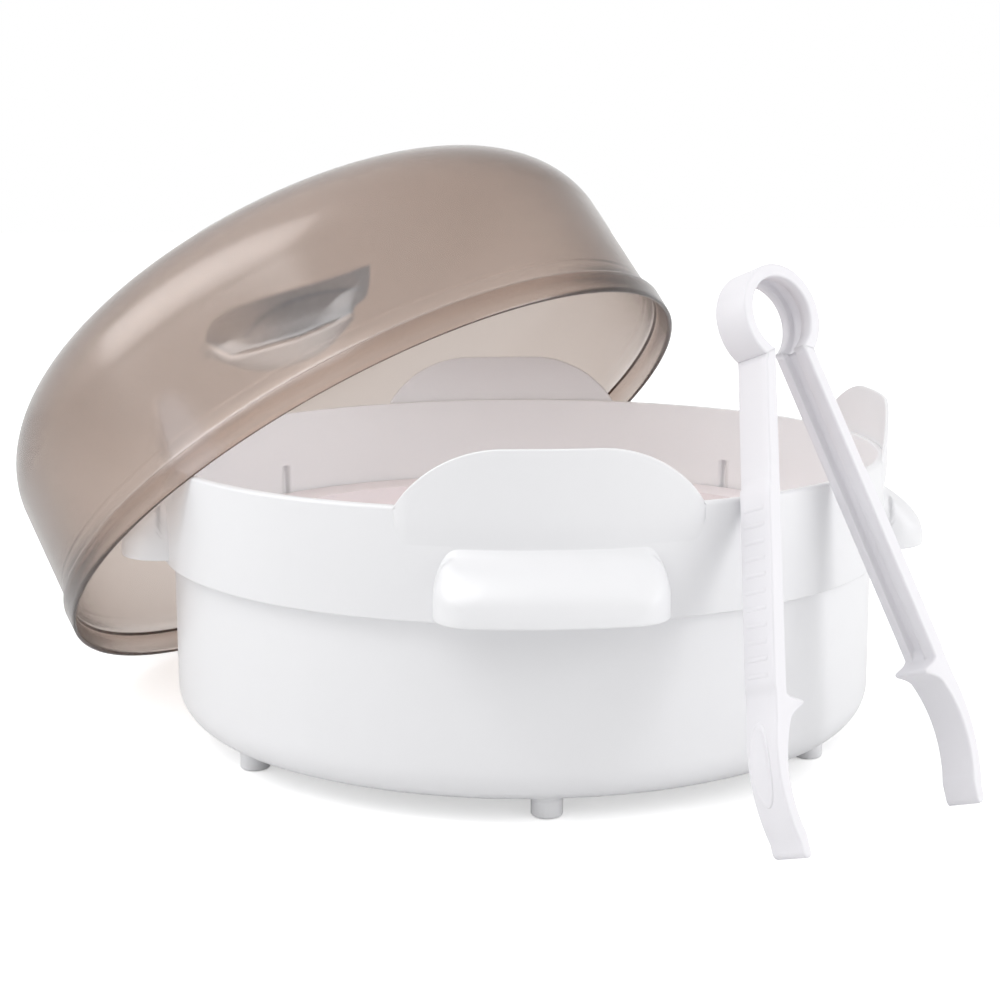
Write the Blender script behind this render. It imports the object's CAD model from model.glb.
import math
import bmesh
import bpy
import numpy as np
from mathutils import Matrix, Vector


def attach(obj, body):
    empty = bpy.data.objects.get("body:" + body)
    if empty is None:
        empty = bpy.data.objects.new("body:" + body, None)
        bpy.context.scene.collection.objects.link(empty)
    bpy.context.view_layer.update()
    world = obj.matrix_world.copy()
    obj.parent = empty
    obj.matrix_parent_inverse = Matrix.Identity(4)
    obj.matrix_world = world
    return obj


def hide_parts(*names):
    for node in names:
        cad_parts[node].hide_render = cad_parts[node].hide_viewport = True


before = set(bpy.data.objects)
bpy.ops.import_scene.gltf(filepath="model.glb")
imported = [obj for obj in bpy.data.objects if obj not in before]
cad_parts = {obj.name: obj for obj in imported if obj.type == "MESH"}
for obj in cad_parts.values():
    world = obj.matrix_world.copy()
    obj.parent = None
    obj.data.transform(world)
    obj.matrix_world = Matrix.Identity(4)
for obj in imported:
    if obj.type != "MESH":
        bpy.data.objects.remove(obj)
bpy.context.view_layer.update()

MM = 0.001


# ---------- mesh helpers (lengths in millimetres) ----------

def curve_through(points, per=6):
    """Catmull-Rom curve through 2D or 3D points."""
    p = np.array(points, float)
    ext = np.vstack([2 * p[0] - p[1], p, 2 * p[-1] - p[-2]])
    out = []
    for i in range(1, len(ext) - 2):
        a, b, c, d = ext[i - 1], ext[i], ext[i + 1], ext[i + 2]
        for k in range(per):
            u = k / per
            out.append(0.5 * ((2 * b) + (c - a) * u + (2 * a - 5 * b + 4 * c - d) * u * u
                              + (3 * b - a - 3 * c + d) * u ** 3))
    out.append(p[-1])
    return np.array(out)


def rounded(points, radii, steps=5, closed=False):
    """Polyline with its corners filleted by the given radii."""
    p = [np.array(q, float) for q in points]
    n = len(p)
    out = []
    for i in range(n):
        r = radii[i] if hasattr(radii, "__len__") else radii
        if (not closed and i in (0, n - 1)) or r <= 0:
            out.append(p[i])
            continue
        a, b, c = p[i - 1], p[i], p[(i + 1) % n]
        u = (a - b) / np.linalg.norm(a - b)
        v = (c - b) / np.linalg.norm(c - b)
        ang = math.acos(max(-1, min(1, float(u @ v))))
        if ang > math.pi - 1e-3:
            out.append(b)
            continue
        t = min(r / math.tan(ang / 2), 0.49 * np.linalg.norm(a - b), 0.49 * np.linalg.norm(c - b))
        rr = t * math.tan(ang / 2)
        bis = (u + v) / np.linalg.norm(u + v)
        centre = b + bis * (rr / math.sin(ang / 2))
        s, e = b + u * t - centre, b + v * t - centre
        for k in range(steps + 1):
            f = k / steps
            turn = math.pi - ang
            q = (math.sin((1 - f) * turn) * s + math.sin(f * turn) * e) / math.sin(turn)
            out.append(centre + q)
    return np.array(out)


def make_mesh(name, verts, faces, material, smooth=True, auto=None):
    me = bpy.data.meshes.new(name)
    me.from_pydata([tuple(v * MM) for v in verts], [], faces)
    me.validate()
    bm = bmesh.new()
    bm.from_mesh(me)
    bmesh.ops.recalc_face_normals(bm, faces=bm.faces)
    bm.to_mesh(me)
    bm.free()
    ob = bpy.data.objects.new(name, me)
    bpy.context.scene.collection.objects.link(ob)
    for poly in me.polygons:
        poly.use_smooth = smooth and len(poly.vertices) <= 4
    me.materials.append(material)
    if auto is not None:
        bpy.context.view_layer.objects.active = ob
        ob.select_set(True)
        bpy.ops.object.shade_auto_smooth(angle=math.radians(auto))
        ob.select_set(False)
    return ob


def grid_faces(nu, nv, wrap_u=False, wrap_v=False, base=0):
    faces = []
    for i in range(nu if wrap_u else nu - 1):
        for j in range(nv if wrap_v else nv - 1):
            i2, j2 = (i + 1) % nu, (j + 1) % nv
            faces.append((base + i * nv + j, base + i2 * nv + j,
                          base + i2 * nv + j2, base + i * nv + j2))
    return faces


def lathe(name, profile, material, steps=180, auto=35, closed=True, angles=None, shape=None):
    """Profile (r, z) turned about Z; shape(angle, r, z) may move single points."""
    prof = np.array(profile, float)
    ang = np.linspace(0, 2 * math.pi, steps, endpoint=False) if angles is None else angles
    rows = [[shape(a, r, z) if shape else (r, z) for r, z in prof] for a in ang]
    verts = np.array([[r * math.cos(a), r * math.sin(a), z] for a, row in zip(ang, rows) for r, z in row])
    faces = grid_faces(len(ang), len(prof), True, closed)
    return make_mesh(name, verts, faces, material, auto=auto)


def tube_sections(name, sections, material, caps=True, auto=35):
    """Closed cross-sections (each an array of 3D points) joined in order."""
    nu, nv = len(sections), len(sections[0])
    verts = np.vstack(sections)
    faces = grid_faces(nu, nv, False, True)
    if caps:
        faces.append(tuple(range(nv - 1, -1, -1)))
        faces.append(tuple((nu - 1) * nv + k for k in range(nv)))
    return make_mesh(name, verts, faces, material, auto=auto)


def smooth(x):
    x = np.clip(x, 0, 1)
    return x * x * (3 - 2 * x)


# ---------- materials ----------

def new_material(name):
    mat = bpy.data.materials.new(name)
    mat.use_nodes = True
    nt = mat.node_tree
    bsdf = nt.nodes["Principled BSDF"]
    return mat, nt, bsdf


def plastic(name, colour, rough=0.3, spec=0.5, coat=0.0, grain=0.02, tint=(0, 0, 0), sss=0.0):
    """Moulded plastic: very slight mottling of colour and gloss, and a faint moulded grain."""
    mat, nt, bsdf = new_material(name)
    coord = nt.nodes.new("ShaderNodeTexCoord")
    noise = nt.nodes.new("ShaderNodeTexNoise")
    noise.inputs["Scale"].default_value = 22.0
    noise.inputs["Detail"].default_value = 3.0
    nt.links.new(coord.outputs["Object"], noise.inputs["Vector"])
    ramp = nt.nodes.new("ShaderNodeValToRGB")
    ramp.color_ramp.elements[0].position = 0.3
    ramp.color_ramp.elements[1].position = 0.75
    c = np.array(colour)
    ramp.color_ramp.elements[0].color = (*(c * 0.985 + np.array(tint)), 1)
    ramp.color_ramp.elements[1].color = (*c, 1)
    nt.links.new(noise.outputs["Fac"], ramp.inputs["Fac"])
    nt.links.new(ramp.outputs["Color"], bsdf.inputs["Base Color"])
    rr = nt.nodes.new("ShaderNodeMapRange")
    rr.inputs["To Min"].default_value = rough * 0.9
    rr.inputs["To Max"].default_value = rough * 1.12
    nt.links.new(noise.outputs["Fac"], rr.inputs["Value"])
    nt.links.new(rr.outputs["Result"], bsdf.inputs["Roughness"])
    fine = nt.nodes.new("ShaderNodeTexNoise")
    fine.inputs["Scale"].default_value = 900.0
    fine.inputs["Detail"].default_value = 2.0
    nt.links.new(coord.outputs["Object"], fine.inputs["Vector"])
    bump = nt.nodes.new("ShaderNodeBump")
    bump.inputs["Strength"].default_value = grain
    bump.inputs["Distance"].default_value = 0.0002
    nt.links.new(fine.outputs["Fac"], bump.inputs["Height"])
    nt.links.new(bump.outputs["Normal"], bsdf.inputs["Normal"])
    bsdf.inputs["Specular IOR Level"].default_value = spec
    bsdf.inputs["Coat Weight"].default_value = coat
    bsdf.inputs["Subsurface Weight"].default_value = sss
    bsdf.inputs["Subsurface Radius"].default_value = (1.0, 0.95, 0.95)
    bsdf.inputs["Subsurface Scale"].default_value = 0.015
    return mat


WHITE = plastic("white_plastic", (0.80, 0.80, 0.815), rough=0.32, spec=0.4)
TONGS = plastic("tongs_plastic", (0.785, 0.775, 0.805), rough=0.42, spec=0.35)
RACK = plastic("rack_plastic", (0.80, 0.75, 0.765), rough=0.4, spec=0.4)


def tinted(name):
    """Smoky clear plastic: the colour comes from what the wall absorbs, so edges look darker."""
    mat, nt, bsdf = new_material(name)
    bsdf.inputs["Transmission Weight"].default_value = 1.0
    bsdf.inputs["IOR"].default_value = 1.49
    bsdf.inputs["Specular IOR Level"].default_value = 0.5
    coord = nt.nodes.new("ShaderNodeTexCoord")
    noise = nt.nodes.new("ShaderNodeTexNoise")
    noise.inputs["Scale"].default_value = 14.0
    noise.inputs["Detail"].default_value = 2.0
    nt.links.new(coord.outputs["Object"], noise.inputs["Vector"])
    rr = nt.nodes.new("ShaderNodeMapRange")
    rr.inputs["To Min"].default_value = 0.17
    rr.inputs["To Max"].default_value = 0.22
    nt.links.new(noise.outputs["Fac"], rr.inputs["Value"])
    nt.links.new(rr.outputs["Result"], bsdf.inputs["Roughness"])
    bsdf.inputs["Coat Weight"].default_value = 0.5
    bsdf.inputs["Coat Roughness"].default_value = 0.36
    bsdf.inputs["Coat IOR"].default_value = 1.5
    # the finger recesses are frosted and read cooler and darker than the polished wall
    mask = nt.nodes.new("ShaderNodeAttribute")
    mask.attribute_name = "recess"
    tint = nt.nodes.new("ShaderNodeMix")
    tint.data_type = "RGBA"
    tint.inputs["A"].default_value = (1.0, 0.99, 0.98, 1)
    tint.inputs["B"].default_value = (0.44, 0.53, 0.63, 1)
    nt.links.new(mask.outputs["Fac"], tint.inputs["Factor"])
    nt.links.new(tint.outputs["Result"], bsdf.inputs["Base Color"])
    vol = nt.nodes.new("ShaderNodeVolumeAbsorption")
    vol.inputs["Color"].default_value = (0.54, 0.365, 0.255, 1)
    vol.inputs["Density"].default_value = 412.0
    nt.links.new(vol.outputs[0], nt.nodes["Material Output"].inputs["Volume"])
    return mat


LID = tinted("tinted_plastic")

# ---------- bowl ----------

SEAM, RIM = 64.7, 99.3
bowl_profile = rounded(
    [(0, 6.6), (122, 6.6), (122, SEAM), (119.6, SEAM), (119.6, 9), (0, 9)],
    [0, 12.5, 0.5, 0.5, 9.5, 0], steps=10)
bowl = lathe("bowl_pan", bowl_profile, WHITE, closed=False)
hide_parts("bowl")
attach(bowl, "base")
foot_profile = rounded([(0, 0), (5, 0), (5, 5.6), (7.0, 7.6), (0, 7.6)], [0, 0.9, 1.6, 0, 0])
for k in range(6):
    a = math.radians(-90 + 60 * k)
    foot = lathe("bowl_foot_%d" % (k + 1), foot_profile, WHITE, steps=40, closed=False)
    foot.location = (0.107 * math.cos(a), 0.107 * math.sin(a), 0)
    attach(foot, "base")

# ---------- guard ring ----------

NOTCH_TOP, NOTCH_HALF, NOTCH_DEEP = 78.2, 1.1, 1.2
band_profile = rounded(
    [(109, SEAM), (117.2, SEAM), (117.2, 58.7), (119.2, 58.7), (119.2, SEAM), (125.9, SEAM),
     (125.9, RIM), (123.3, RIM), (123.3, NOTCH_TOP + 1), (123.3, NOTCH_TOP + 0.3), (123.3, NOTCH_TOP),
     (123.3, 66.2), (109, 66.2)],
    [0.5, 0.2, 0.5, 0.5, 0.2, 0.6, 1.9, 0.55, 0, 0, 0, 1.2, 0.5], steps=6, closed=True)
notch_mids = [math.radians(45 + 90 * k) for k in range(4)]
notch_arc = NOTCH_HALF / 123.3


def notch_shape(a, r, z):
    """Four small upright slots inside the band, where the rack's lugs pass."""
    near = min(abs(a - m) for m in notch_mids)
    if near < notch_arc * 1.05 and 122.0 < r < 123.5 and z < NOTCH_TOP + 0.1:
        return r + NOTCH_DEEP, z
    return r, z


band_angles = list(np.linspace(0, 2 * math.pi, 240, endpoint=False))
for m in notch_mids:
    band_angles = [a for a in band_angles if abs(a - m) > notch_arc * 1.6]
    band_angles += [m - notch_arc * 1.1, m - notch_arc, m, m + notch_arc, m + notch_arc * 1.1]
band = lathe("guard_band", band_profile, WHITE, angles=sorted(band_angles), shape=notch_shape)
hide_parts("guard_ring")
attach(band, "base")

TAB_HALF = math.radians(21.6)


def tab_top_at(y):
    y = abs(y)
    if y <= 14:
        return 117.0
    return 79 + math.sqrt(max(38 ** 2 - (y - 14) ** 2, 0))


def tab_sections(turn):
    out = []
    for phi in np.linspace(-TAB_HALF, TAB_HALF, 81):
        y = 126.15 * math.sin(phi)
        top = max(tab_top_at(y), 98.2)
        edge = float(smooth((TAB_HALF - abs(phi)) / math.radians(2.2)))
        pts = []
        for z in np.linspace(84.0, 97.5, 10):
            pts.append((125.6 + (0.3 + 0.85 * edge) * float(smooth((z - 84.0) / 12.0)), z))
        ro = 125.9 + 0.85 * edge
        for z in np.linspace(98.5, top - 0.65, 8):
            pts.append((ro, z))
        mid, half = (ro + 125.5) / 2, (ro - 125.5) / 2
        for k in range(1, 8):
            a = math.pi * k / 8
            pts.append((mid + half * math.cos(a), top - 0.65 + 0.65 * math.sin(a)))
        for z in np.linspace(top - 0.65, 97.0, 8):
            pts.append((125.5, z))
        pts.append((124.6, 90.0))
        pts.append((124.6, 84.0))
        c, s = math.cos(phi + turn), math.sin(phi + turn)
        out.append(np.array([[r * c, r * s, z] for r, z in pts]))
    return out


for k in range(4):
    tab = tube_sections("guard_tab_%d" % (k + 1), tab_sections(math.pi / 2 * k), WHITE)
    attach(tab, "base")

crown = curve_through([(124.7, 89.4), (125.6, 87.6), (126.7, 85.8), (128.4, 84.2), (130.5, 82.7), (132.7, 81.2),
                       (135, 79.4), (137.1, 77.3), (138.8, 74.9), (139.7, 72.2), (140, 69.4)], 5)


def crown_z(r):
    return float(np.interp(r, crown[:, 0], crown[:, 1]))


HOOD_REACH, HOOD_HALF, HOOD_CORNER, HOOD_LOW = 140.0, 35.0, 14.0, 66.6
corner_y = HOOD_HALF - HOOD_CORNER
corner_x = math.sqrt((HOOD_REACH - HOOD_CORNER) ** 2 - corner_y ** 2)


def hood_outline():
    """Half of the plan outline, from the middle of the front round the corner to the band."""
    turn_at = math.atan2(corner_y, corner_x)
    pts = [(HOOD_REACH * math.cos(a), HOOD_REACH * math.sin(a)) for a in np.linspace(0, turn_at, 16)]
    pts += [(corner_x + HOOD_CORNER * math.cos(a), corner_y + HOOD_CORNER * math.sin(a))
            for a in np.linspace(turn_at, math.pi / 2, 18)[1:]]
    pts += [(x, HOOD_HALF) for x in np.linspace(corner_x, 120.7, 4)[1:]]
    return pts


def hood_height(x, y):
    """Height of the hood's skin: the crown over the front, a quick round shoulder at the ends."""
    r = math.hypot(x, y)
    if x > corner_x and abs(y) > corner_y and math.atan2(abs(y) - corner_y, x - corner_x) > 0.1:
        inside = HOOD_CORNER - math.hypot(x - corner_x, abs(y) - corner_y)
        turn = math.atan2(abs(y) - corner_y, x - corner_x) / (math.pi / 2)
    else:
        inside, turn = min(HOOD_REACH - r, HOOD_HALF - abs(y)), float(HOOD_HALF - abs(y) < HOOD_REACH - r)
    inside = max(inside, 0)
    front = crown_z(min(max(r, 124.7), HOOD_REACH))
    start = 69.4 + 1.2 * turn
    end_drop = 7.5
    f = min(max(HOOD_HALF - abs(y), 0) / end_drop, 1.0) if x <= corner_x else min(inside / end_drop * (0.55 + turn), 1)
    if x > corner_x and turn < 0.02:
        return front
    side = start + (front - start) * math.sqrt(max(1 - (1 - f) ** 2, 0))
    return min(front, side) if x <= corner_x else front * (1 - turn) + side * turn


def hood_sections(turn):
    half = hood_outline()
    whole = [(x, -y) for x, y in reversed(half[1:])] + half
    out = []
    for x, y in whole:
        psi, reach = math.atan2(y, x), math.hypot(x, y)
        reach = max(reach, 125.0)
        pts = [(124.6, hood_height(124.9 * math.cos(psi), 124.9 * math.sin(psi)) + 0.2)]
        for f in np.linspace(0.02, 1, 22) ** 0.7:
            r = 124.7 + (reach - 124.7) * f
            pts.append((r, hood_height(r * math.cos(psi), r * math.sin(psi))))
        edge_z = pts[-1][1]
        pts += [(reach, z) for z in np.linspace(edge_z, HOOD_LOW + 0.5, 5)[1:]]
        pts += [(reach - 0.15, HOOD_LOW + 0.15), (reach - 0.5, HOOD_LOW)]
        inner = max(reach - 2.4, 124.6)
        pts.append((min(inner + 0.3, reach - 0.5), HOOD_LOW))
        for f in (0.0, 0.4, 0.8, 1.0):
            r = inner + (124.6 - inner) * f
            roof = hood_height((r + 0.5) * math.cos(psi), (r + 0.5) * math.sin(psi)) - 2.6
            pts.append((r, max(HOOD_LOW + 0.4, roof)))
        c, s = math.cos(psi + turn), math.sin(psi + turn)
        out.append(np.array([[r * c, r * s, z] for r, z in pts]))
    return out


for k in range(4):
    hood = tube_sections("guard_hood_%d" % (k + 1), hood_sections(math.pi / 2 * k), WHITE, auto=40)
    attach(hood, "base")

# ---------- rack ----------

for node in ("rack",):
    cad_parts[node].data.materials.clear()
    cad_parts[node].data.materials.append(RACK)

# ---------- lid ----------

TILT, LEAN = math.radians(38.072), math.radians(137.004)
UP = np.array([math.sin(TILT) * math.cos(LEAN), math.sin(TILT) * math.sin(LEAN), math.cos(TILT)])
E1 = np.array([math.cos(TILT) * math.cos(LEAN), math.cos(TILT) * math.sin(LEAN), -math.sin(TILT)])
E2 = np.cross(UP, E1)
LID_C = np.array([-49.186, 45.868, 125.2 * math.sin(TILT)])
LID_H = 87.2

wall_outer = [(125.2, 0.0), (125.2, 8.1), (123.05, 9.1), (122.55, 30), (121.9, 50)]
shoulder = [(121.9 - 37.4 * (1 - math.cos(a)), 49.2 + 34.0 * math.sin(a))
            for a in np.linspace(0, math.pi / 2, 22)]
top = [(84.5 * (1 - f), 83.2 + 4.0 * (1 - (1 - f) ** 2)) for f in np.linspace(0, 1, 14)[1:]]

GRIP = [(118, 36.6), (119.6, 40.4), (122, 41.7), (125.5, 41.1), (134.7, 36.6), (140.9, 34.4),
        (145.7, 33.4), (146, 31.6), (143.4, 23.2), (140.7, 20.9), (139.7, 17.4), (134, 12.4),
        (129, 12.7), (123.2, 17.1), (118, 29), (117.7, 35.2)]
grip_xy = np.array([[math.radians(a - 132) * 122.5, h] for a, h in GRIP])
grip_xy = curve_through(np.vstack([grip_xy, grip_xy[:1]]), 4)[:-1]


LEDGE = [(118.2, 34.9), (120.6, 27), (131.1, 21.3), (137.4, 19.9), (141.0, 19.6)]
CREASE = [(124.0, 31.0), (127.2, 33.5), (132.3, 33.6), (136.9, 31.7), (140.4, 29), (143.0, 26.5)]


def flat_path(points, per=4, smooth_it=True):
    q = np.array([[math.radians(a - 132) * 122.5, h] for a, h in points])
    return curve_through(q, per) if smooth_it else q


LEDGE_XY, CREASE_XY = flat_path(LEDGE, 1, False), flat_path(CREASE, 5)


def path_distance(p, path):
    a, b = path[:-1], path[1:]
    ab = b - a
    t = np.clip(((p - a) * ab).sum(1) / np.maximum((ab ** 2).sum(1), 1e-9), 0, 1)
    return float(np.sqrt((((a + ab * t[:, None]) - p) ** 2).sum(1)).min())


def in_polygon(p, poly):
    inside = False
    for (x1, y1), (x2, y2) in zip(poly, np.roll(poly, -1, 0)):
        if (y1 > p[1]) != (y2 > p[1]) and p[0] < (x2 - x1) * (p[1] - y1) / (y2 - y1) + x1:
            inside = not inside
    return inside


DEEP = 5.5
RIM_PATH = np.vstack([grip_xy, grip_xy[:1]])


def grip_at(arc, h):
    """Depth of the finger recess and how frosted it is; arc is millimetres round the wall."""
    p = np.array([arc, h])
    if not in_polygon(p, grip_xy):
        return 0.0, 0.0
    rim = path_distance(p, RIM_PATH)
    ledge = path_distance(p, LEDGE_XY)
    crease = path_distance(p, CREASE_XY)
    low = h < np.interp(arc, LEDGE_XY[:, 0], LEDGE_XY[:, 1])
    over = float(smooth(0.5 + (-ledge if low else ledge) / 3.0))
    fade = 1 - float(smooth((arc - 6) / 20))
    depth = 0.5 * float(smooth(rim / 11.0)) + 1.3 * float(smooth(rim / 9.0)) * over * fade
    if low:
        frost = 0.34 + 0.4 * float(smooth((arc + 10) / 25))
    else:
        frost = 0.34 + 0.72 * float(smooth((arc + 22) / 24)) + 0.2 * math.exp(-(ledge / 3.5) ** 2)
    above = h > np.interp(arc, CREASE_XY[:, 0], CREASE_XY[:, 1], left=99, right=99)
    frost -= 0.1 * float(above) * float(smooth((arc - CREASE_XY[0, 0]) / 8.0))
    frost -= 0.4 * math.exp(-(ledge / 0.8) ** 2)
    frost += 0.25 * math.exp(-(crease / 0.6) ** 2)
    return depth, 0.8 * frost * float(smooth(rim / 1.2))


def lid_shell(name):
    prof = []
    prof += [(125.2, z) for z in (0.35, 2, 4, 6, 8.2)]
    prof += [(125.05, 8.65), (124.7, 8.9), (123.6, 9.1), (123.2, 9.3), (123.05, 9.8)]
    hs = np.arange(10.6, 45.0, 0.6)
    prof += [(float(np.interp(h, [9, 50], [123.05, 121.9])), h) for h in hs]
    prof += [(121.95, 47), (121.9, 48.4)]
    prof += shoulder + top
    prof = np.array(prof)
    inner = []
    for i in range(len(prof)):
        a = prof[max(i - 1, 0)]
        b = prof[min(i + 1, len(prof) - 1)]
        d = (b - a) / np.linalg.norm(b - a)
        nrm = np.array([-d[1], d[0]])
        inner.append(prof[i] + nrm * 1.5)
    inner = np.array(inner)
    inner[0] = (123.7, 0.75)
    for i in range(1, len(prof)):
        h = prof[i][1]
        if h < 15:
            inner[i] = (121.5 + 2.2 * (1 - float(smooth(h / 14.5))), h)
    inner[-1] = (0.0, LID_H - 1.5)
    az = []
    a = 0.0
    grips = [132.0, 312.0]
    while a < 360 - 1e-6:
        az.append(a)
        near = min(abs((a - g + 180) % 360 - 180) for g in grips)
        a += 0.3 if near < 16.0 else 2.0
    az = np.radians(np.array(az))
    nu, nv = len(az), len(prof)
    vo, vi, marks = [], [], []
    for t in az:
        c, s = math.cos(t), math.sin(t)
        for j in range(nv):
            r, h = prof[j]
            ri, hi = inner[j]
            dep, frost = 0.0, 0.0
            if 10 < h < 46:
                for g in grips:
                    off = (math.degrees(t) - g + 180) % 360 - 180
                    if abs(off) < 17:
                        dep, frost = grip_at(math.radians(off) * 122.5, h)
            marks.append(frost)
            vo.append(((r - dep) * c, (r - dep) * s, h))
            vi.append(((ri - dep) * c, (ri - dep) * s, hi))
    verts = np.array(vo + vi)
    faces = grid_faces(nu, nv, True, False)
    faces += [tuple(reversed(f)) for f in grid_faces(nu, nv, True, False, nu * nv)]
    rim0 = []
    base = len(verts)
    extra = []
    ring_pts = [(125.0, 0.05), (124.7, 0.0), (124.4, 0.0), (123.9, 0.2)]
    for t in az:
        c, s = math.cos(t), math.sin(t)
        for r, h in ring_pts:
            extra.append((r * c, r * s, h))
    verts = np.vstack([verts, np.array(extra)])
    m = len(ring_pts)
    for i in range(nu):
        i2 = (i + 1) % nu
        seq1 = [i * nv] + [base + i * m + k for k in range(m)] + [nu * nv + i * nv]
        seq2 = [i2 * nv] + [base + i2 * m + k for k in range(m)] + [nu * nv + i2 * nv]
        for k in range(len(seq1) - 1):
            faces.append((seq1[k], seq1[k + 1], seq2[k + 1], seq2[k]))
    world = LID_C + verts[:, :1] * E1 + verts[:, 1:2] * E2 + verts[:, 2:3] * UP
    ob = make_mesh(name, world, faces, LID, auto=32)
    layer = ob.data.attributes.new("recess", "FLOAT", "POINT")
    layer.data.foreach_set("value", marks + marks + [0.0] * len(extra))
    return ob


lid = lid_shell("lid_dome")
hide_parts("lid")
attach(lid, "lid")

# ---------- tongs ----------

BETA, FACE = math.radians(19.214), math.radians(-55.366)
NV = np.array([math.cos(FACE), math.sin(FACE), 0])
UU = np.array([-NV[1], NV[0], 0])
TV = math.cos(BETA) * np.array([0, 0, 1.0]) - math.sin(BETA) * NV
NN = math.cos(BETA) * NV + math.sin(BETA) * np.array([0, 0, 1.0])
TM = NV * 167.06 + UU * 4.382
HALF_W = 6.5


def to_world(pts):
    """Local (s, t, n) to the row frame."""
    p = np.array(pts, float)
    return TM + p[:, :1] * UU + p[:, 1:2] * TV + p[:, 2:3] * NN


def arc_points(start, end, radius, left, n=10):
    a, b = np.array(start, float), np.array(end, float)
    mid, half = (a + b) / 2, np.linalg.norm(b - a) / 2
    along = (b - a) / np.linalg.norm(b - a)
    side = np.array([-along[1], along[0]])
    c = mid + side * math.sqrt(max(radius ** 2 - half ** 2, 0)) * (1 if left else -1)
    t0 = math.atan2(a[1] - c[1], a[0] - c[0])
    t1 = math.atan2(b[1] - c[1], b[0] - c[0])
    if left and t1 < t0:
        t1 += 2 * math.pi
    if not left and t1 > t0:
        t1 -= 2 * math.pi
    return [(c[0] + radius * math.cos(t), c[1] + radius * math.sin(t)) for t in np.linspace(t0, t1, n)]


neck_z = 159.8 - math.sqrt(15.7 ** 2 - 10.5 ** 2)
neck_iz = 159.8 - math.sqrt(11.8 ** 2 - 5.9 ** 2)


def outer_edge():
    """Outer edge of the right arm from neck to toe."""
    return [(10.5, neck_z), (38.9, 43)] + arc_points((38.9, 43), (40.3, 7), 56, False, 20)[1:]


OUTER = np.array(outer_edge())
PAD_LOW, PAD_HIGH, PAD_RISE = 51.5, 109.0, 0.45
CHANNEL_HALF, CHANNEL_DEEP, CHANNEL_MID = 2.5, 2.4, -0.5
EDGE = 0.7


def arm_rows():
    """Outline of the right arm, outer edge down, toe, jaw, lip and inner edge up; with channel depths."""
    def along(f):
        return 10.5 + 28.4 * (neck_z - f) / (neck_z - 43)
    rise = np.array([0.93, 0.36]) * PAD_RISE
    rows = []
    for t in list(np.linspace(neck_z, PAD_HIGH + 1.2, 20)):
        rows.append(((along(t), t), 0))
    for t in list(np.linspace(PAD_HIGH, PAD_LOW, 24)):
        rows.append(((along(t) + rise[0], t + rise[1]), 0))
    rows.append(((along(PAD_LOW - 0.7), PAD_LOW - 0.7), 0))
    for t in list(np.linspace(PAD_LOW - 3, 43, 4)):
        rows.append(((along(t), t), 0))
    rows += [(q, 0) for q in arc_points((38.9, 43), (40.3, 7), 56, False, 20)[1:]]
    rows += [(q, 0) for q in arc_points((40.3, 4.5), (38.1, 2.32), 2.2, False, 7)]
    rows += [(q, 0) for q in arc_points((37.4, 2.32), (36.7, 5.0), 3.4, False, 5)]
    rows += [(q, 0) for q in arc_points((36.8, 9.5), (33, 41.5), 38, True, 22)]
    lip = curve_through([(33, 41.5), (31.6, 42.6), (29.6, 43.6), (27.3, 44.5)], 4)[1:]
    lip = [tuple(q) for q in lip] + [(26.8, 44.9), (26.7, 45.4), (26.85, 45.9), (27.3, 46.2)]
    rows += [(q, 0) for q in lip]
    rows += [(q, 0) for q in ((28.6, 46.7), (30.2, 47.3), (31.6, 48.0), (32.55, 48.9))]
    run = [(5.9 + 26.7 * f, neck_iz + (49 - neck_iz) * f) for f in np.linspace(1, 0, 42)]
    rows += [(q, CHANNEL_DEEP) for q in run[1:]]
    return rows


def extrude_arm(name, sign):
    rows = arm_rows()
    q = np.array([r[0] for r in rows])
    cut = np.array([r[1] for r in rows])
    tangent = np.roll(q, -1, 0) - np.roll(q, 1, 0)
    tangent /= np.linalg.norm(tangent, axis=1)[:, None]
    inward = np.stack([tangent[:, 1], -tangent[:, 0]], 1)
    neck = np.array([10.5 - 5.9, neck_z - neck_iz])
    inward[0], inward[-1] = -neck / np.linalg.norm(neck), neck / np.linalg.norm(neck)
    layers = [(HALF_W, EDGE + 0.25, 0.0)]
    for k in range(5):
        a = math.pi / 2 * k / 4
        layers.append((HALF_W - EDGE + EDGE * math.cos(a), EDGE * (1 - math.sin(a)), 0.0))
    hi, lo = CHANNEL_MID + CHANNEL_HALF, CHANNEL_MID - CHANNEL_HALF
    top = layers + [(hi + 0.35, 0, 0.0), (hi + 0.1, 0, 0.06), (hi, 0, 0.3), (hi - 0.15, 0, 0.9), (hi - 0.4, 0, 1.0)]
    low = [(lo + 0.4, 0, 1.0), (lo + 0.15, 0, 0.9), (lo, 0, 0.3), (lo - 0.1, 0, 0.06), (lo - 0.35, 0, 0.0)]
    low += [(-n, inset, g) for n, inset, g in reversed(layers)]
    secs = []
    for n, inset, g in top + low:
        p = q + inward * inset + inward * (cut * g)[:, None]
        secs.append(to_world([(s * sign, t, n) for s, t in p]))
    return tube_sections(name, secs, TONGS, auto=40)


def on_outer(t):
    """Point and outward normal of the outer edge at height t."""
    s = float(np.interp(t, OUTER[::-1, 1], OUTER[::-1, 0]))
    s2 = float(np.interp(t + 0.5, OUTER[::-1, 1], OUTER[::-1, 0]))
    d = np.array([s2 - s, 0.5])
    d /= np.linalg.norm(d)
    return np.array([s, t]), np.array([d[1], -d[0]])


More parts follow.
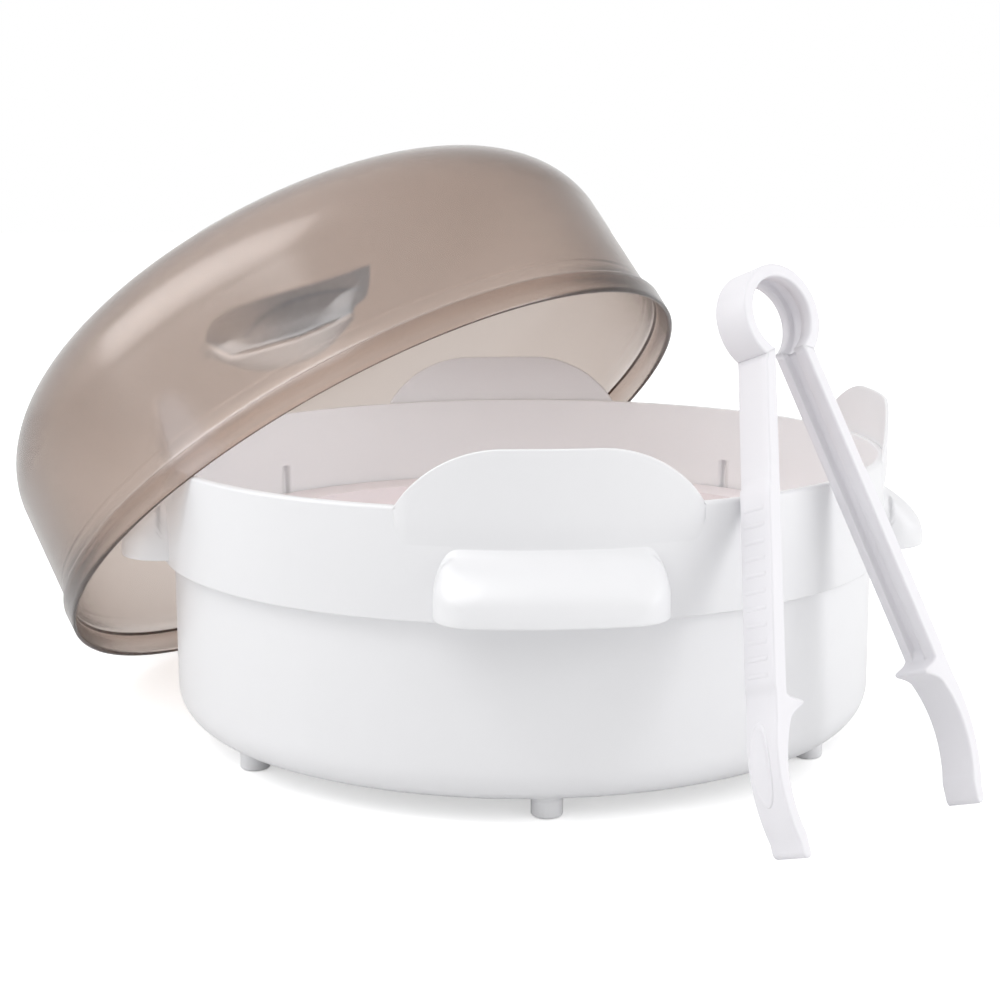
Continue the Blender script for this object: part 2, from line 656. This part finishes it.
def grip_ribs(name, sign):
    """Low cross ribs on the raised pad."""
    verts, faces = [], []
    for t in np.arange(PAD_LOW + 3.2, PAD_HIGH - 2, 4.8):
        base = len(verts)
        q, out = on_outer(t)
        prof = [(-1.0, -0.2), (-0.55, 0.05), (-0.2, 0.16), (0.2, 0.16), (0.55, 0.05), (1.0, -0.2)]
        ends = [(-4.9, 0.0), (-4.5, 0.7), (-3.9, 1.0), (2.9, 1.0), (3.5, 0.7), (3.9, 0.0)]
        for n, g in ends:
            for dt, rise in prof:
                p = q + np.array([0, dt]) + out * (PAD_RISE + (rise if rise < 0 else rise * g))
                verts.append((p[0] * sign, p[1], n))
        faces += grid_faces(len(ends), len(prof), False, False, base)
    return make_mesh(name, to_world(verts), faces, TONGS, auto=60)


def oval_pad(name, sign):
    """Plain raised oval on the outside of the jaw."""
    rings = [(1.0, -0.15), (0.99, 0.12), (0.96, 0.25), (0.90, 0.32), (0.84, 0.25), (0.80, 0.14), (0.5, 0.13), (0.0, 0.13)]
    verts, steps = [], 64
    for k in range(steps):
        a = 2 * math.pi * k / steps
        for f, rise in rings:
            q, out = on_outer(30 + 12.3 * f * math.sin(a))
            p = q + out * rise
            verts.append((p[0] * sign, p[1], -1.0 + 4.3 * f * math.cos(a)))
    return make_mesh(name, to_world(verts), grid_faces(steps, len(rings), True, False), TONGS, auto=60)


for side, sign in (("left", -1), ("right", 1)):
    arm = extrude_arm("tongs_%s_strip" % side, sign)
    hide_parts("tongs_arm_%s" % side)
    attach(arm, "tongs_" + side)
    for part in (grip_ribs("tongs_%s_ribs" % side, sign), oval_pad("tongs_%s_oval" % side, sign)):
        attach(part, "tongs_" + side)

LOOP_MID, LOOP_IN, LOOP_OUT = 159.8, 11.8, 15.7
loop_secs = []
out_end = math.atan2(neck_z - LOOP_MID, 10.5)
in_end = math.atan2(neck_iz - LOOP_MID, 5.9)
for f in np.linspace(0, 1, 84):
    a_out = out_end + (math.pi - 2 * out_end) * f
    a_in = in_end + (math.pi - 2 * in_end) * f
    r = EDGE
    pts = []
    for k in range(5):
        b = math.pi / 2 * k / 4
        pts.append((LOOP_OUT - r + r * math.cos(b), HALF_W - r + r * math.sin(b)))
    pts += [(LOOP_OUT - r - 0.25, HALF_W), (LOOP_IN + r + 0.25, HALF_W)]
    for k in range(5):
        b = math.pi / 2 * k / 4
        pts.append((LOOP_IN + r - r * math.sin(b), HALF_W - r + r * math.cos(b)))
    low_side = [(q, -n) for q, n in reversed(pts)]
    deep = 1.9 * float(smooth((math.pi * 0.62 - a_in) / 0.5) + smooth((a_in - math.pi * 1.05) / 0.5))
    hi, lo = CHANNEL_MID + CHANNEL_HALF, CHANNEL_MID - CHANNEL_HALF
    pts += [(LOOP_IN + deep * g, n) for g, n in
            ((0, hi + 0.3), (0.3, hi), (0.9, hi - 0.15), (1, hi - 0.4), (1, lo + 0.4), (0.9, lo + 0.15), (0.3, lo), (0, lo - 0.3))]
    ring = []
    for q, n in pts + low_side:
        g = (q - LOOP_IN) / (LOOP_OUT - LOOP_IN)
        a = a_in + (a_out - a_in) * g
        ring.append((q * math.cos(a), LOOP_MID + q * math.sin(a), n))
    loop_secs.append(to_world(ring))
loop = tube_sections("tongs_spring_loop", loop_secs, TONGS, auto=40)
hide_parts("tongs_loop")
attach(loop, "tongs")

# ---------- floor, light, camera ----------

scene = bpy.context.scene


def floor_material():
    mat, nt, bsdf = new_material("floor_white")
    bsdf.inputs["Base Color"].default_value = (0.86, 0.86, 0.86, 1)
    bsdf.inputs["Roughness"].default_value = 0.9
    bsdf.inputs["Specular IOR Level"].default_value = 0.0
    path = nt.nodes.new("ShaderNodeLightPath")
    emit = nt.nodes.new("ShaderNodeEmission")
    scale = nt.nodes.new("ShaderNodeMath")
    scale.operation = "MULTIPLY"
    scale.inputs[1].default_value = 0.50
    add = nt.nodes.new("ShaderNodeAddShader")
    nt.links.new(path.outputs["Is Camera Ray"], scale.inputs[0])
    nt.links.new(scale.outputs[0], emit.inputs["Strength"])
    nt.links.new(bsdf.outputs[0], add.inputs[0])
    nt.links.new(emit.outputs[0], add.inputs[1])
    nt.links.new(add.outputs[0], nt.nodes["Material Output"].inputs["Surface"])
    return mat


floor_mat = floor_material()
fl = make_mesh("floor", np.array([(-4000, -4000, -0.3), (4000, -4000, -0.3), (4000, 4000, -0.3),
                                  (-4000, 4000, -0.3)], float), [(0, 1, 2, 3)], floor_mat, smooth=False)

world = bpy.data.worlds.new("studio")
scene.world = world
world.use_nodes = True
wn = world.node_tree
for n in list(wn.nodes):
    wn.nodes.remove(n)
outw = wn.nodes.new("ShaderNodeOutputWorld")
bg_cam = wn.nodes.new("ShaderNodeBackground")
bg_cam.inputs["Color"].default_value = (1, 1, 1, 1)
bg_cam.inputs["Strength"].default_value = 1.0
bg_env = wn.nodes.new("ShaderNodeBackground")
bg_env.inputs["Color"].default_value = (1.0, 1.0, 1.0, 1)
# the studio is brighter overhead and at the sides than low in front
geo = wn.nodes.new("ShaderNodeTexCoord")
sep = wn.nodes.new("ShaderNodeSeparateXYZ")
wn.links.new(geo.outputs["Generated"], sep.inputs[0])


def ramp(source, low, high, at_low, at_high):
    node = wn.nodes.new("ShaderNodeMapRange")
    node.interpolation_type = "SMOOTHSTEP"
    for key, value in (("From Min", low), ("From Max", high), ("To Min", at_low), ("To Max", at_high)):
        node.inputs[key].default_value = value
    wn.links.new(source, node.inputs["Value"])
    return node.outputs["Result"]


behind = wn.nodes.new("ShaderNodeVectorMath")
behind.operation = "DOT_PRODUCT"
behind.inputs[1].default_value = (0.63, 0.33, 0.70)
wn.links.new(geo.outputs["Generated"], behind.inputs[0])
both = wn.nodes.new("ShaderNodeMath")
both.operation = "ADD"
total = wn.nodes.new("ShaderNodeMath")
total.operation = "SUBTRACT"
wn.links.new(ramp(sep.outputs["Y"], -1.0, -0.15, 0.54, 1.0), both.inputs[0])
wn.links.new(ramp(sep.outputs["Z"], 0.35, 0.95, 0.0, 0.2), both.inputs[1])
wn.links.new(both.outputs[0], total.inputs[0])
wn.links.new(ramp(behind.outputs["Value"], 0.55, 1.0, 0.0, 0.5), total.inputs[1])
glow_side = wn.nodes.new("ShaderNodeVectorMath")
glow_side.operation = "DOT_PRODUCT"
glow_side.inputs[1].default_value = (-0.84, -0.45, 0.30)
wn.links.new(geo.outputs["Generated"], glow_side.inputs[0])
glow = wn.nodes.new("ShaderNodeMath")
glow.operation = "ADD"
wn.links.new(total.outputs[0], glow.inputs[0])
wn.links.new(ramp(glow_side.outputs["Value"], 0.6, 1.0, 0.0, 0.30), glow.inputs[1])
wn.links.new(glow.outputs[0], bg_env.inputs["Strength"])
lp = wn.nodes.new("ShaderNodeLightPath")
mixw = wn.nodes.new("ShaderNodeMixShader")
wn.links.new(lp.outputs["Is Camera Ray"], mixw.inputs["Fac"])
wn.links.new(bg_env.outputs[0], mixw.inputs[1])
wn.links.new(bg_cam.outputs[0], mixw.inputs[2])
wn.links.new(mixw.outputs[0], outw.inputs["Surface"])


def area(name, where, aim, size, power, along=None):
    """Rectangular light at a point, facing another; its long side may follow a direction."""
    light = bpy.data.lights.new(name, "AREA")
    light.shape = "RECTANGLE"
    light.size, light.size_y = size
    light.energy = power
    ob = bpy.data.objects.new(name, light)
    scene.collection.objects.link(ob)
    z = (Vector(where) - Vector(aim)).normalized()
    x = Vector(along) if along else Vector((0, 0, 1)).cross(z)
    x = (x - z * x.dot(z)).normalized()
    rot = Matrix((x, z.cross(x), z)).transposed()
    ob.matrix_world = Matrix.Translation(Vector(where)) @ rot.to_4x4()
    return ob


def direction(azimuth, elevation):
    a, e = math.radians(azimuth), math.radians(elevation)
    return Vector((math.cos(e) * math.cos(a), math.cos(e) * math.sin(a), math.sin(e)))


streak_from, streak_to = direction(180, 21), direction(-118, 64)
streak_at = (streak_from + streak_to).normalized() * 1.5
key = area("left_key", streak_at, (0, 0, 0.1), (1.5, 0.32), 4.4, along=streak_to - streak_from)
sheen = area("left_sheen", streak_at * 1.02, (0, 0, 0.1), (1.9, 1.0), 17.0, along=streak_to - streak_from)
sheen.visible_diffuse = key.visible_glossy = False
fill = area("inside_fill", (0, 0, 0.119), (0, 0, 0), (0.15, 0.15), 0.06, along=(1, 0, 0))
fill.visible_camera = fill.visible_glossy = fill.visible_transmission = False
area("right_soft", (1.25, -0.5, 0.45), (0, 0, 0.08), (0.8, 1.1), 7.4)

cam_data = bpy.data.cameras.new("camera")
cam_data.lens = 71.05
cam_data.sensor_width = 36
cam_data.clip_start = 0.05
cam_data.clip_end = 30
cam = bpy.data.objects.new("camera", cam_data)
scene.collection.objects.link(cam)
AZ, EL, ROLL = math.radians(-3.43), math.radians(10.24), math.radians(-0.17)
back = Vector((math.sin(AZ) * math.cos(EL), -math.cos(AZ) * math.cos(EL), math.sin(EL)))
right = Vector((math.cos(AZ), math.sin(AZ), 0))
up = back.cross(right)
r2 = right * math.cos(ROLL) + up * math.sin(ROLL)
u2 = up * math.cos(ROLL) - right * math.sin(ROLL)
rot = Matrix((r2, u2, back)).transposed()
cam.matrix_world = Matrix.Translation(Vector((-48.96, -687.16, 203.8)) * MM) @ rot.to_4x4()
scene.camera = cam
scene.view_settings.view_transform = "Standard"
